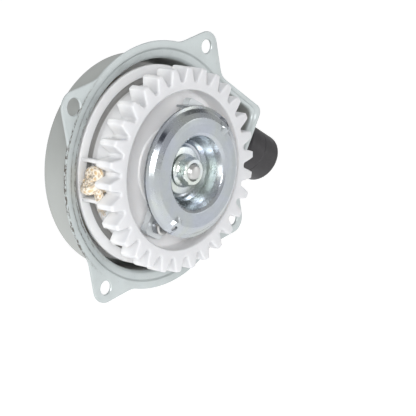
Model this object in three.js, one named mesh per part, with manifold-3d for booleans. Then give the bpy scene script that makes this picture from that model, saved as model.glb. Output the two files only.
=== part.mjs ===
// Recoil (pull) starter for a small engine, in millimetres.
//
// Every piece is drawn in a local frame: x to the right, y up and z (called w in the comments) towards the
// engine, out of the open front of the case. The group is then turned so that +Z is up and the front faces -Y.
// The origin is on the reel's axis, in the plane of the flange's front face.
import * as THREE from 'three';
import { mergeVertices } from 'three/addons/utils/BufferGeometryUtils.js';
import Module from 'manifold-3d';

const wasm = await Module();
wasm.setup();

// ---- driving dimensions -------------------------------------------------------------------------------------

const SHEET = 1.5; // steel of the case
const FLANGE_R = 63.4; // round part of the flange
const CREASE_R = 59.6; // where the flange steps down towards the drum
const CREASE_DEPTH = 1.0;
const DRUM_R = 54.1; // inside of the drum
const CASE_DEPTH = 25.9; // from the flange plane to the inside of the back
const BACK_FILLET = 5.0;
const BOSS_R = 17.0; // pushed-in centre of the back
const BOSS_RISE = 3.0;

const EAR_ANGLES = [57, 147, 237, 327]; // degrees from +x towards +y
const BOLT_CIRCLE_R = 67.8;
const EAR_TIP_R = 7.8;
const EAR_HOLE_R = [3.6, 4.4, 3.6, 3.6];

const OUTLET_ANGLE = -30; // direction in which the rope leaves, degrees
const OUTLET_OFFSET = 36.5; // distance of the rope's line from the axis
const OUTLET_W = -12.5;
const CORNER_TOP_ANGLE = 56.7; // direction that the outlet corner's upper edge faces
const CORNER_EDGE = 60.1; // distance of both corner edges from the axis
const CORNER_R = 4.5;
const LOBE_INSET = 4.3; // from the corner's edge to the inside of the rope outlet's wall
const LOBE_DEPTH = 20.0;

const TEETH = 30;
const FIRST_TOOTH = 1.1; // degrees
const GEAR_TIP_R = 52.0;
const GEAR_ROOT_R = 44.7;
const GEAR_FRONT = 19.2;
const GEAR_BACK = 8.0;
const CROWN_INNER_R = 40.4;
const RECESS_FLOOR = 8.0;
const REEL_WALL_R = 43.5; // wall between the crown and the sheave
const SHEAVE_R = 51.0;
const SHEAVE_FRONT = -4.0;
const SHEAVE_BACK = -19.7;
const SHEAVE_WALL = 2.4;
const SPOOL_R = 33.0; // floor of the rope groove

const ROPE_R = 2.3;
const ROPE_LAYER_R = 44.5; // centre of the outermost layer of rope
const POCKET_ANGLE = 180.5; // knot pocket of the reel
const POCKET_HALF_ANGLE = 11.8;

const STUD_THREAD_R = 4.0;
const STUD_END = 27.2;
const POST_R = 8.0;
const POST_TOP = 16.2;
const ARBOR_R = 11.0;
const ARBOR_TOP = -5.4;
const BUSH_OUTER_R = 9.4;
const RUNNING_GAP = 0.06;
const GAP = 0.3; // between pieces that rest on each other

const PAWL_ANGLES = [243, 63];
const PAWL_PIVOT_R = 30.3;
const PAWL_WIDTH = 12.4;
const PAWL_OUTER = 6.0; // beyond the pivot
const PAWL_INNER = -13.8;
const PAWL_CORNER_R = 2.4;
const PAWL_BOTTOM = 9.2;
const PAWL_TOP = 13.0;
const PIVOT_R = 2.5;

const PLATE_SHEET = 1.2;
const PLATE_RIM_R = 33.2;
const PLATE_NOTCH_ANGLES = [44, 241];
const PLATE_LEG_ANGLES = [84, 264];

const HANDLE_R = 13.0;
const HANDLE_START = 58.9;
const HANDLE_END = 85.6;

const ROUND = 60; // facets of the large round pieces
const SMALL_ROUND = 30;

// ---- helpers ------------------------------------------------------------------------------------------------

const radians = THREE.MathUtils.degToRad;

function polar(radius, degrees) {
  return new THREE.Vector2(radius * Math.cos(radians(degrees)), radius * Math.sin(radians(degrees)));
}

// One closed solid from a geometry: shared vertices merged, slivers dropped, faces pointing out.
function solid(geometry) {
  geometry.deleteAttribute('normal');
  geometry.deleteAttribute('uv');
  const merged = mergeVertices(geometry, 1e-4);
  const position = merged.getAttribute('position');
  const corner = [0, 1, 2].map(() => new THREE.Vector3());
  const triangles = [];
  let volume = 0;
  for (let i = 0; i < merged.index.count; i += 3) {
    const triangle = [0, 1, 2].map((k) => merged.index.getX(i + k));
    if (new Set(triangle).size < 3) continue;
    triangle.forEach((vertex, k) => corner[k].fromBufferAttribute(position, vertex));
    volume += corner[0].dot(corner[1].clone().cross(corner[2]));
    triangles.push(triangle);
  }
  if (volume < 0) triangles.forEach((triangle) => triangle.reverse());
  const mesh = new wasm.Mesh({
    numProp: 3,
    vertProperties: Float32Array.from(position.array),
    triVerts: Uint32Array.from(triangles.flat()),
  });
  return new wasm.Manifold(mesh);
}

// A solid of revolution about w. The profile is a closed loop of [radius, w] pairs.
function turned(profile, segments = ROUND) {
  const points = profile.map(([radius, w]) => new THREE.Vector2(radius, w));
  points.push(points[0].clone());
  return solid(new THREE.LatheGeometry(points, segments).rotateX(Math.PI / 2));
}

// A solid of revolution whose profile starts and ends on the axis.
function turnedCore(profile, segments = ROUND) {
  const points = profile.map(([radius, w]) => new THREE.Vector2(radius, w));
  return solid(new THREE.LatheGeometry(points, segments).rotateX(Math.PI / 2));
}

function washer(innerR, outerR, bottom, top, segments = SMALL_ROUND) {
  return turned([[innerR, bottom], [outerR, bottom], [outerR, top], [innerR, top]], segments);
}

function disc(radius, bottom, top, segments = ROUND) {
  return turnedCore([[0, bottom], [radius, bottom], [radius, top], [0, top]], segments);
}

// An outline raised from w = bottom to w = top.
function raised(shape, bottom, top, curveSegments = 6) {
  const settings = { depth: top - bottom, bevelEnabled: false, curveSegments };
  return solid(new THREE.ExtrudeGeometry(shape, settings).translate(0, 0, bottom));
}

function outline(points) {
  return new THREE.Shape(points);
}

// A tube of round section along a curve.
function tube(curve, radius, sides, steps) {
  const section = new THREE.Shape();
  for (let i = 0; i < sides; i += 1) {
    const point = polar(radius, (360 * i) / sides);
    if (i === 0) section.moveTo(point.x, point.y);
    else section.lineTo(point.x, point.y);
  }
  return solid(new THREE.ExtrudeGeometry(section, { steps, extrudePath: curve, bevelEnabled: false }));
}

// A polygon corner rounded to a radius, as points.
function roundedCorner(before, corner, after, radius, steps = 5) {
  const toBefore = before.clone().sub(corner).normalize();
  const toAfter = after.clone().sub(corner).normalize();
  const half = Math.acos(toBefore.dot(toAfter)) / 2;
  const middle = toBefore.clone().add(toAfter).normalize();
  const centre = corner.clone().addScaledVector(middle, radius / Math.sin(half));
  const from = corner.clone().addScaledVector(toBefore, radius / Math.tan(half)).sub(centre);
  const to = corner.clone().addScaledVector(toAfter, radius / Math.tan(half)).sub(centre);
  const points = [];
  const sweep = Math.atan2(from.x * to.y - from.y * to.x, from.dot(to));
  for (let i = 0; i <= steps; i += 1) {
    points.push(from.clone().rotateAround(new THREE.Vector2(), (sweep * i) / steps).add(centre));
  }
  return points;
}

// Pieces on the rope's line are turned about z and then laid along it: x across, y along w, z along the rope.
const ropeDirection = polar(1, OUTLET_ANGLE);
const ropeAcross = polar(1, OUTLET_ANGLE + 90);
const ropeFrame = new THREE.Matrix4()
  .makeBasis(
    new THREE.Vector3(ropeAcross.x, ropeAcross.y, 0),
    new THREE.Vector3(0, 0, 1),
    new THREE.Vector3(ropeDirection.x, ropeDirection.y, 0),
  )
  .setPosition(ropeAcross.x * OUTLET_OFFSET, ropeAcross.y * OUTLET_OFFSET, OUTLET_W);

function alongRope(piece) {
  return piece.transform(ropeFrame.elements);
}

function ropePoint(distance) {
  return new THREE.Vector3(0, 0, distance).applyMatrix4(ropeFrame);
}

const starter = new THREE.Group();
starter.rotation.x = Math.PI / 2;

const finishes = {
  zinc: { color: 0xbcc6c6, roughness: 0.42, metalness: 0.85 },
  brightZinc: { color: 0xc8d2d6, roughness: 0.25, metalness: 0.95 },
  steel: { color: 0x8d9294, roughness: 0.4, metalness: 0.9 },
  springSteel: { color: 0x4d5258, roughness: 0.35, metalness: 0.9 },
  nylon: { color: 0xf1f1ee, roughness: 0.5, metalness: 0 },
  bronze: { color: 0xa5814d, roughness: 0.45, metalness: 0.8 },
  rope: { color: 0xe2d3b8, roughness: 0.9, metalness: 0 },
  blackPlastic: { color: 0x1d1c1f, roughness: 0.45, metalness: 0 },
};

function addPiece(name, piece, finish) {
  const { vertProperties, triVerts } = piece.getMesh();
  const geometry = new THREE.BufferGeometry();
  geometry.setAttribute('position', new THREE.BufferAttribute(new Float32Array(vertProperties), 3));
  geometry.setIndex(new THREE.BufferAttribute(new Uint32Array(triVerts), 1));
  geometry.computeVertexNormals();
  const mesh = new THREE.Mesh(geometry, new THREE.MeshStandardMaterial(finishes[finish]));
  mesh.name = name;
  starter.add(mesh);
}

// ---- case ---------------------------------------------------------------------------------------------------

// A bolt ear: a round tip on the bolt circle and two 45 degree sides that run into the ring.
function earFeature(angle) {
  const sideReach = BOLT_CIRCLE_R + EAR_TIP_R * Math.SQRT2;
  const halfAngle = 45 - THREE.MathUtils.radToDeg(Math.acos(sideReach / (FLANGE_R * Math.SQRT2)));
  const points = [];
  for (let turn = -45; turn <= 45; turn += 15) {
    points.push(polar(BOLT_CIRCLE_R, angle).add(polar(EAR_TIP_R, angle + turn)));
  }
  return { from: angle - halfAngle, to: angle + halfAngle, points };
}

// The corner where two lines at one distance from the axis meet, facing the two outlet directions.
function outletCorner(edge) {
  const between = radians(CORNER_TOP_ANGLE - OUTLET_ANGLE);
  const reach = edge * Math.tan(between / 2);
  return polar(edge, CORNER_TOP_ANGLE).addScaledVector(polar(1, CORNER_TOP_ANGLE - 90), reach);
}

function cornerFeature() {
  const halfAngle = THREE.MathUtils.radToDeg(Math.acos(CORNER_EDGE / FLANGE_R));
  const from = OUTLET_ANGLE + halfAngle;
  const to = CORNER_TOP_ANGLE - halfAngle;
  const corner = outletCorner(CORNER_EDGE);
  return { from, to, points: roundedCorner(polar(FLANGE_R, from), corner, polar(FLANGE_R, to), CORNER_R) };
}

// The ring of the flange with its four ears and the corner, walked once round.
function flangeOutline() {
  const features = [cornerFeature(), ...EAR_ANGLES.map(earFeature)];
  const points = [];
  features.forEach((feature, i) => {
    const next = features[(i + 1) % features.length];
    const until = next.from + (i + 1 === features.length ? 360 : 0);
    const steps = Math.max(1, Math.round((until - feature.to) / 6));
    points.push(polar(FLANGE_R, feature.from), ...feature.points);
    for (let k = 0; k < steps; k += 1) {
      points.push(polar(FLANGE_R, feature.to + ((until - feature.to) * k) / steps));
    }
  });
  const shape = outline(points);
  shape.holes.push(new THREE.Path().absarc(0, 0, CREASE_R, radians(3), radians(363)));
  EAR_ANGLES.forEach((angle, i) => {
    const at = polar(BOLT_CIRCLE_R, angle);
    shape.holes.push(new THREE.Path().absarc(at.x, at.y, EAR_HOLE_R[i], 0.1, 0.1 + 2 * Math.PI));
  });
  return shape;
}

// The rope outlet's pocket follows the corner of the flange at a smaller distance from the axis.
function lobeOutline(edge, cornerR, topStart, sideStart) {
  const corner = outletCorner(edge);
  const top = polar(edge, CORNER_TOP_ANGLE).addScaledVector(polar(1, CORNER_TOP_ANGLE - 90), topStart);
  const side = polar(edge, OUTLET_ANGLE).addScaledVector(polar(1, OUTLET_ANGLE + 90), sideStart);
  return outline([corner.clone().multiplyScalar(0.5), side, ...roundedCorner(side, corner, top, cornerR), top]);
}

function makeCase() {
  const wallR = DRUM_R + SHEET;
  const back = -CASE_DEPTH;
  const boss = back + BOSS_RISE;
  const flange = raised(flangeOutline(), -SHEET, 0, 15);
  const cup = turned([
    [CREASE_R + 1.2, -0.4],
    [CREASE_R - 0.4, -CREASE_DEPTH],
    [DRUM_R + 2.0, -CREASE_DEPTH],
    [DRUM_R + 0.6, -CREASE_DEPTH - 0.7],
    [DRUM_R, -CREASE_DEPTH - 2.2],
    [DRUM_R, back + BACK_FILLET - SHEET],
    [DRUM_R - 1.2, back + 1.2],
    [DRUM_R - BACK_FILLET + SHEET, back],
    [BOSS_R + 2, back],
    [BOSS_R, boss],
    [STUD_THREAD_R + GAP, boss],
    [STUD_THREAD_R + GAP, boss - SHEET],
    [BOSS_R - 0.8, boss - SHEET],
    [BOSS_R + 1.2, back - SHEET],
    [wallR - BACK_FILLET, back - SHEET],
    [wallR - 1.5, back - SHEET + 1.5],
    [wallR, back - SHEET + BACK_FILLET],
    [wallR, -CREASE_DEPTH - 3.2],
    [wallR + 1.2, -CREASE_DEPTH - SHEET],
    [CREASE_R - 0.6, -CREASE_DEPTH - SHEET],
    [CREASE_R + 1.2, -1.1],
  ]);

  const inside = CORNER_EDGE - LOBE_INSET;
  const outside = inside + SHEET;
  const lobe = raised(lobeOutline(outside, CORNER_R + SHEET, 8, 10), -LOBE_DEPTH - SHEET, -SHEET + 0.25);
  const drumSpace = turnedCore([
    [0, back],
    [DRUM_R + SHEET / 2, back],
    [DRUM_R + SHEET / 2, -2.3],
    [DRUM_R + 3.1, -2.3],
    [DRUM_R + 3.1, 1],
    [0, 1],
  ], 64);
  const lobeSpace = raised(lobeOutline(inside, CORNER_R, 13, 15), -LOBE_DEPTH, 1);
  const ropeHole = alongRope(disc(4.5, inside - 4, outside + 1.6, 24));
  return flange.add(cup).add(lobe.subtract(drumSpace)).subtract(lobeSpace).subtract(ropeHole);
}

addPiece('case', makeCase(), 'zinc');

// ---- centre stud, its rivet washer and the rope guide -------------------------------------------------------

const bossFront = -CASE_DEPTH + BOSS_RISE;
const bossBack = bossFront - SHEET;

function makeCentreStud() {
  const stud = turnedCore([
    [0, bossBack - 2.9],
    [6.2, bossBack - 2.9],
    [7, bossBack - 2.3],
    [7, bossBack - 1.8],
    [STUD_THREAD_R, bossBack - 1.8],
    [STUD_THREAD_R, bossFront + GAP],
    [15, bossFront + GAP],
    [15, bossFront + 1.6],
    [ARBOR_R, bossFront + 1.6],
    [ARBOR_R, ARBOR_TOP],
    [POST_R, ARBOR_TOP],
    [POST_R, POST_TOP],
    [STUD_THREAD_R, POST_TOP],
    [STUD_THREAD_R, STUD_END - 0.8],
    [STUD_THREAD_R - 0.8, STUD_END],
    [0, STUD_END],
  ], SMALL_ROUND);
  const slot = solid(new THREE.BoxGeometry(6, 2, 15).translate(ARBOR_R - 1, 0, ARBOR_TOP - 7));
  return stud.subtract(slot);
}

addPiece('centre_stud', makeCentreStud(), 'steel');
addPiece('stud_washer', washer(STUD_THREAD_R + GAP, 10, bossBack - 1.5, bossBack - GAP), 'steel');

const lobeWall = CORNER_EDGE - LOBE_INSET;
const guideProfile = [
  [3.0, lobeWall - 1.4],
  [4.6, lobeWall - 2.0],
  [6.2, lobeWall - 1.4],
  [6.2, lobeWall - GAP],
  [4.2, lobeWall - GAP],
  [4.2, lobeWall + SHEET + GAP],
  [6.2, lobeWall + SHEET + GAP],
  [6.2, lobeWall + SHEET + 0.8],
  [4.6, lobeWall + SHEET + 1.2],
  [3.0, lobeWall + SHEET + 0.8],
];
addPiece('rope_guide', alongRope(turned(guideProfile, 18)), 'steel');

// ---- recoil spring ------------------------------------------------------------------------------------------

// A flat strip wound from the arbor's slot out to the wall of the reel's back cavity.
function makeRecoilSpring() {
  const thickness = 0.8;
  const turns = 6;
  const startR = 12.2;
  const endR = 29.4;
  const steps = turns * 14;
  const inner = [];
  const outer = [];
  for (let i = 0; i <= steps; i += 1) {
    const radius = startR + ((endR - startR) * i) / steps;
    const angle = (360 * turns * i) / steps;
    inner.push(polar(radius, angle));
    outer.push(polar(radius + thickness, angle));
  }
  const half = thickness / 2;
  const hookR = 8.6;
  const hook = [[startR, half], [hookR, half], [hookR, -half], [startR + thickness, -half]];
  const points = [...hook.map(([x, y]) => new THREE.Vector2(x, y)), ...outer, ...inner.slice(1).reverse()];
  return raised(outline(points), -18.4, -6.4);
}

addPiece('recoil_spring', makeRecoilSpring(), 'springSteel');

// ---- reel ---------------------------------------------------------------------------------------------------

function gearOutline() {
  const steps = [
    [-4.5, GEAR_ROOT_R],
    [-3.0, GEAR_ROOT_R + 3.9],
    [-1.5, GEAR_TIP_R],
    [1.5, GEAR_TIP_R],
    [3.0, GEAR_ROOT_R + 3.9],
    [4.5, GEAR_ROOT_R],
  ];
  const points = [];
  for (let tooth = 0; tooth < TEETH; tooth += 1) {
    const middle = FIRST_TOOTH + (360 * tooth) / TEETH;
    for (const [turn, radius] of steps) points.push(polar(radius, middle + turn));
  }
  return outline(points);
}

function makeReel() {
  let body = turned([
    [BUSH_OUTER_R + 0.2, -4.8],
    [BUSH_OUTER_R + 0.2, RECESS_FLOOR + 0.8],
    [21.6, RECESS_FLOOR + 0.8],
    [21.6, RECESS_FLOOR],
    [CROWN_INNER_R - 0.8, RECESS_FLOOR],
    [CROWN_INNER_R, RECESS_FLOOR + 0.8],
    [CROWN_INNER_R, GEAR_FRONT - 0.6],
    [CROWN_INNER_R + 0.6, GEAR_FRONT],
    [GEAR_ROOT_R - 0.5, GEAR_FRONT],
    [GEAR_ROOT_R - 0.5, GEAR_BACK],
    [REEL_WALL_R, GEAR_BACK - 0.5],
    [REEL_WALL_R, SHEAVE_FRONT],
    [SHEAVE_R, SHEAVE_FRONT],
    [SHEAVE_R, SHEAVE_FRONT - SHEAVE_WALL],
    [SPOOL_R, SHEAVE_FRONT - SHEAVE_WALL],
    [SPOOL_R, SHEAVE_BACK + SHEAVE_WALL],
    [SHEAVE_R, SHEAVE_BACK + SHEAVE_WALL],
    [SHEAVE_R, SHEAVE_BACK],
    [30.6, SHEAVE_BACK],
    [30.6, -5.6],
    [24, -5.6],
    [24, RECESS_FLOOR - 3.5],
    [13, RECESS_FLOOR - 3.5],
    [13, -4.8],
  ]);

  const leadIn = turnedCore([
    [0, GEAR_BACK],
    [GEAR_TIP_R + 0.5, GEAR_BACK],
    [GEAR_TIP_R + 0.5, GEAR_FRONT - 2.4],
    [GEAR_TIP_R - 1.6, GEAR_FRONT],
    [0, GEAR_FRONT],
  ]);
  const ringSpace = disc(GEAR_ROOT_R - 1.8, GEAR_BACK - 1, GEAR_FRONT + 1);
  const teeth = raised(gearOutline(), GEAR_BACK, GEAR_FRONT).intersect(leadIn).subtract(ringSpace);
  body = body.add(teeth);

  for (const side of [-1, 1]) {
    const angle = POCKET_ANGLE + side * POCKET_HALF_ANGLE;
    const post = new THREE.BoxGeometry(SHEAVE_R - 1.4 - 42.6, 1.8, GEAR_BACK - SHEAVE_FRONT + 1);
    post.translate((SHEAVE_R - 1.4 + 42.6) / 2, 0, (GEAR_BACK + SHEAVE_FRONT) / 2);
    body = body.add(solid(post.rotateZ(radians(angle))));
  }
  const ropeHole = polar(REEL_WALL_R + 4.0, POCKET_ANGLE);
  body = body.subtract(
    disc(ROPE_R + 0.5, SHEAVE_FRONT - SHEAVE_WALL - 1, SHEAVE_FRONT + 1, 16).translate([ropeHole.x, ropeHole.y, 0]),
  );
  for (const angle of PAWL_ANGLES) {
    const at = polar(PAWL_PIVOT_R, angle);
    body = body.subtract(disc(PIVOT_R + 0.1, RECESS_FLOOR - 6, RECESS_FLOOR + 1, 20).translate([at.x, at.y, 0]));
  }
  return body;
}

addPiece('reel', makeReel(), 'nylon');
addPiece('spring_cover', washer(ARBOR_R + 0.5, 36, SHEAVE_BACK - 1.1, SHEAVE_BACK - GAP), 'zinc');
addPiece('hub_bush', washer(POST_R + RUNNING_GAP, BUSH_OUTER_R, -5.0, RECESS_FLOOR + 0.7), 'bronze');
addPiece('thrust_washer', washer(POST_R + 0.2, 12.6, RECESS_FLOOR + 1.1, RECESS_FLOOR + 1.9), 'steel');

// ---- rope ---------------------------------------------------------------------------------------------------

function makeRopeWinding() {
  const outer = ROPE_LAYER_R + ROPE_R;
  const front = SHEAVE_FRONT - SHEAVE_WALL - 0.4;
  const back = SHEAVE_BACK + SHEAVE_WALL + 0.4;
  const middle = (front + back) / 2;
  return turned([
    [SPOOL_R + GAP, back],
    [outer - 1.0, back],
    [outer, (back + middle) / 2],
    [outer - 1.0, middle],
    [outer, (middle + front) / 2],
    [outer - 1.0, front],
    [SPOOL_R + GAP, front],
  ], SMALL_ROUND);
}

// The strand up through the sheave wall, the knot in its pocket and the short cut tail.
function makeRopeKnot() {
  const at = polar(REEL_WALL_R + 5.0, POCKET_ANGLE);
  const through = polar(REEL_WALL_R + 4.0, POCKET_ANGLE);
  const knot = solid(new THREE.SphereGeometry(1, 14, 10).scale(4.6, 5.4, 5.0).translate(at.x, at.y, 1.9));
  const strand = disc(ROPE_R, SHEAVE_FRONT - SHEAVE_WALL + 0.2, 0, 10).translate([through.x, through.y, 0]);
  const tailPath = new THREE.CatmullRomCurve3([
    new THREE.Vector3(at.x, at.y - 0.3, 3.3),
    new THREE.Vector3(at.x + 0.4, at.y - 4.4, 5.2),
    new THREE.Vector3(at.x + 1.6, at.y - 7.4, 4.4),
  ]);
  return knot.add(strand).add(tube(tailPath, ROPE_R - 0.5, 8, 6));
}

// From the outermost layer, clear of the winding, straight to the guide and along its bore into the handle.
function makeRopeLead() {
  const bend = ropePoint(lobeWall - 4);
  const leaveAngle = THREE.MathUtils.radToDeg(
    Math.atan2(bend.y, bend.x) + Math.acos(ROPE_LAYER_R / Math.hypot(bend.x, bend.y)),
  );
  const leave = polar(ROPE_LAYER_R, leaveAngle);
  const toBend = new THREE.Vector2(bend.x, bend.y).sub(leave).normalize();
  const start = leave.clone().addScaledVector(toBend, 24);
  const half = start.clone().lerp(new THREE.Vector2(bend.x, bend.y), 0.6);
  const path = new THREE.CatmullRomCurve3([
    new THREE.Vector3(start.x, start.y, OUTLET_W),
    new THREE.Vector3(half.x, half.y, OUTLET_W),
    ropePoint(lobeWall - 3),
    ropePoint(lobeWall + 1),
    ropePoint(HANDLE_START + 2),
    ropePoint(HANDLE_START + 10),
  ]);
  return tube(path, ROPE_R, 10, 16);
}

addPiece('rope_winding', makeRopeWinding(), 'rope');
addPiece('rope_knot', makeRopeKnot(), 'rope');
addPiece('rope_lead', makeRopeLead(), 'rope');

// ---- pawls --------------------------------------------------------------------------------------------------

// Drawn with the pivot at the origin and the reel's axis towards -x: a bar along the radius with round corners.
function pawlOutline() {
  const half = PAWL_WIDTH / 2;
  const corners = [
    [PAWL_OUTER - PAWL_CORNER_R, half - PAWL_CORNER_R, 0],
    [PAWL_INNER + PAWL_CORNER_R, half - PAWL_CORNER_R, 90],
    [PAWL_INNER + PAWL_CORNER_R, PAWL_CORNER_R - half, 180],
    [PAWL_OUTER - PAWL_CORNER_R, PAWL_CORNER_R - half, 270],
  ];
  const points = [];
  corners.forEach(([x, y, start]) => {
    for (let turn = 0; turn <= 90; turn += 22.5) {
      const angle = radians(start + turn);
      points.push(new THREE.Vector2(x + PAWL_CORNER_R * Math.cos(angle), y + PAWL_CORNER_R * Math.sin(angle)));
    }
  });
  return outline(points);
}

function placeAtPivot(piece, angle) {
  return piece.translate([PAWL_PIVOT_R, 0, 0]).rotate([0, 0, angle]);
}

PAWL_ANGLES.forEach((angle, i) => {
  const number = i + 1;
  const blade = raised(pawlOutline(), PAWL_BOTTOM, PAWL_TOP);
  const pawl = blade.subtract(disc(PIVOT_R + RUNNING_GAP, PAWL_BOTTOM - 1, PAWL_TOP + 1, 20));
  addPiece(`pawl_${number}`, placeAtPivot(pawl, angle), 'brightZinc');

  const pivot = turnedCore([
    [0, RECESS_FLOOR - 5.7],
    [PIVOT_R, RECESS_FLOOR - 5.7],
    [PIVOT_R, PAWL_TOP + 3.6],
    [4.2, PAWL_TOP + 3.6],
    [4.2, PAWL_TOP + 4.4],
    [3.4, PAWL_TOP + 5.0],
    [0, PAWL_TOP + 5.0],
  ], 20);
  addPiece(`pawl_pivot_${number}`, placeAtPivot(pivot, angle), 'steel');

  const coil = washer(PIVOT_R + 0.4, PIVOT_R + 1.4, PAWL_TOP + 0.4, PAWL_TOP + 3.2, 20);
  const legPath = new THREE.LineCurve3(
    new THREE.Vector3(-PIVOT_R - 0.8, 1, PAWL_TOP + 1.7),
    new THREE.Vector3(-PIVOT_R - 8.5, -3.5, PAWL_TOP + 1.7),
  );
  addPiece(`pawl_spring_${number}`, placeAtPivot(coil.add(tube(legPath, 0.45, 8, 1)), angle), 'springSteel');
});

// ---- friction spring and plate ------------------------------------------------------------------------------

function makeFrictionSpring() {
  const turns = 2.5;
  const radius = 10.2;
  const wire = 0.6;
  const bottom = RECESS_FLOOR + 2.9;
  const top = POST_TOP - 2.6;
  const points = [];
  for (let i = 0; i <= turns * 12; i += 1) {
    const at = polar(radius, 30 * i);
    points.push(new THREE.Vector3(at.x, at.y, bottom + ((top - bottom) * i) / (turns * 12)));
  }
  return tube(new THREE.CatmullRomCurve3(points), wire, 6, 36);
}

addPiece('friction_spring', makeFrictionSpring(), 'springSteel');

// A pressed dome: flat floor round the post, a dished wall up to the lip, a round shoulder and a low rim.
function makeFrictionPlate() {
  const floor = POST_TOP - 0.1;
  const top = [
    [POST_R + 0.4, floor],
    [11.8, floor],
    [13.6, floor + 0.7],
    [15.2, floor + 2.6],
    [17.0, floor + 8.2],
    [18.6, 28.1],
    [20.4, 29.0],
    [24.4, 29.2],
    [27.4, 28.8],
    [30.0, 27.2],
    [31.8, 25.0],
    [PLATE_RIM_R, 24.6],
  ];
  const under = top.map(([radius, w], i) => {
    const [beforeR, beforeW] = top[Math.max(i - 1, 0)];
    const [afterR, afterW] = top[Math.min(i + 1, top.length - 1)];
    const along = new THREE.Vector2(afterR - beforeR, afterW - beforeW).normalize();
    return [radius + along.y * PLATE_SHEET, w - along.x * PLATE_SHEET];
  });
  under[0][0] = POST_R + 0.4;
  under[under.length - 1][0] = PLATE_RIM_R;
  let plate = turned([...top, ...under.reverse()], SMALL_ROUND);
  for (const angle of PLATE_NOTCH_ANGLES) {
    const cut = new THREE.BoxGeometry(4.2, 4.6, 12).translate(30.0, 0, 26).rotateZ(radians(angle));
    plate = plate.subtract(solid(cut));
  }
  for (const angle of PLATE_LEG_ANGLES) {
    const leg = new THREE.BoxGeometry(PLATE_SHEET, 8, 10.4).translate(32.2, 0, 19.2).rotateZ(radians(angle));
    plate = plate.add(solid(leg));
  }
  return plate;
}

addPiece('friction_plate', makeFrictionPlate(), 'brightZinc');
addPiece('plate_washer', washer(STUD_THREAD_R + GAP, 12, POST_TOP + GAP, 18.5), 'brightZinc');

// M8 flange nut: 13 mm across flats, with its chamfered top and its round flange.
function makeFlangeNut() {
  const bottom = 18.5 + GAP;
  const top = 25.6;
  const corners = [0, 60, 120, 180, 240, 300].map((angle) => polar(6.5 / Math.cos(radians(30)), angle + 12));
  const hexagon = raised(outline(corners), bottom + 0.5, top);
  const chamfer = turnedCore([
    [0, bottom],
    [8.6, bottom],
    [8.6, bottom + 1.0],
    [7.5, bottom + 2.0],
    [7.5, top - 0.6],
    [6.2, top],
    [0, top],
  ], SMALL_ROUND);
  const foot = turnedCore([
    [0, bottom],
    [8.5, bottom],
    [8.5, bottom + 0.9],
    [6.9, bottom + 2.2],
    [0, bottom + 2.2],
  ], SMALL_ROUND);
  return hexagon.intersect(chamfer).add(foot).subtract(disc(STUD_THREAD_R + 0.1, bottom - 1, top + 1, SMALL_ROUND));
}

addPiece('flange_nut', makeFlangeNut(), 'brightZinc');

// ---- handle -------------------------------------------------------------------------------------------------

const handleFloor = HANDLE_START + 9.1;
const cavityR = 8.8;
const gripProfile = [
  [3.0, HANDLE_START],
  [7.4, HANDLE_START],
  [8.0, HANDLE_START + 0.6],
  [8.0, CORNER_EDGE + 0.5],
  [11.4, CORNER_EDGE + 0.5],
  [12.6, CORNER_EDGE + 1.0],
  [HANDLE_R, CORNER_EDGE + 2.2],
  [HANDLE_R, HANDLE_END - 3.6],
  [HANDLE_R - 0.5, HANDLE_END - 1.8],
  [HANDLE_R - 1.8, HANDLE_END - 0.5],
  [HANDLE_R - 3.4, HANDLE_END],
  [cavityR, HANDLE_END],
  [cavityR, handleFloor],
  [3.0, handleFloor],
];
const plugProfile = [
  [0, HANDLE_END - 3.2],
  [cavityR - GAP, HANDLE_END - 3.2],
  [cavityR - GAP, HANDLE_END - 0.6],
  [cavityR - 1.2, HANDLE_END - 0.2],
  [0, HANDLE_END],
];
const handleKnot = new THREE.SphereGeometry(1, 12, 10).scale(5.6, 5.2, 4.8).translate(0, 0, handleFloor + 7.2);

addPiece('handle_grip', alongRope(turned(gripProfile, 32)), 'blackPlastic');
addPiece('handle_plug', alongRope(turnedCore(plugProfile, 32)), 'blackPlastic');
addPiece('handle_ferrule', alongRope(washer(3.0, 7.6, handleFloor + GAP, handleFloor + 1.5, 24)), 'steel');
addPiece('handle_knot', alongRope(solid(handleKnot)), 'rope');

export default starter;
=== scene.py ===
"""The looks of a recoil starter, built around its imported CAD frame.

Shapes are worked out in millimetres in the starter's own plan: x to the right, y up and w towards the engine,
out of the open front of the case. A point (x, y, w) lies at (x, -w, y) in the row frame.
"""

import math

import bmesh
import bpy
import numpy as np
from mathutils import Matrix, Vector


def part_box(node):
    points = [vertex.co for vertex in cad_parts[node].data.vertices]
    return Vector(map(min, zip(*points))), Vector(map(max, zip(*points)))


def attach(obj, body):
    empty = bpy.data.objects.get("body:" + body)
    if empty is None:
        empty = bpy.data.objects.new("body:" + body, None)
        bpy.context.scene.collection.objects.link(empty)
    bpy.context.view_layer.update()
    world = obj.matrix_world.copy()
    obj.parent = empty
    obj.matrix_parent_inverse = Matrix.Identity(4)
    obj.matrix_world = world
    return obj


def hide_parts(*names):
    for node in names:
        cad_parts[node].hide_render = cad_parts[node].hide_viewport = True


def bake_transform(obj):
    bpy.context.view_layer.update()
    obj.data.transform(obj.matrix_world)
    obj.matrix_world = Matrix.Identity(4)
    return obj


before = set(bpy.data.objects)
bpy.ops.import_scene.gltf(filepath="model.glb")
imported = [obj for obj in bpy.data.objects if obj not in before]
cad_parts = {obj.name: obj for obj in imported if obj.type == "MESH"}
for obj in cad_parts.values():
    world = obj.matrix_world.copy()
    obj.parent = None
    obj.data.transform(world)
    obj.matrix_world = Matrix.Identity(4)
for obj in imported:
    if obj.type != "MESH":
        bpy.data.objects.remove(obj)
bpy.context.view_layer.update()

MM = 0.001


# ---- driving dimensions, read off the frame ------------------------------------------------------------------

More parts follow.
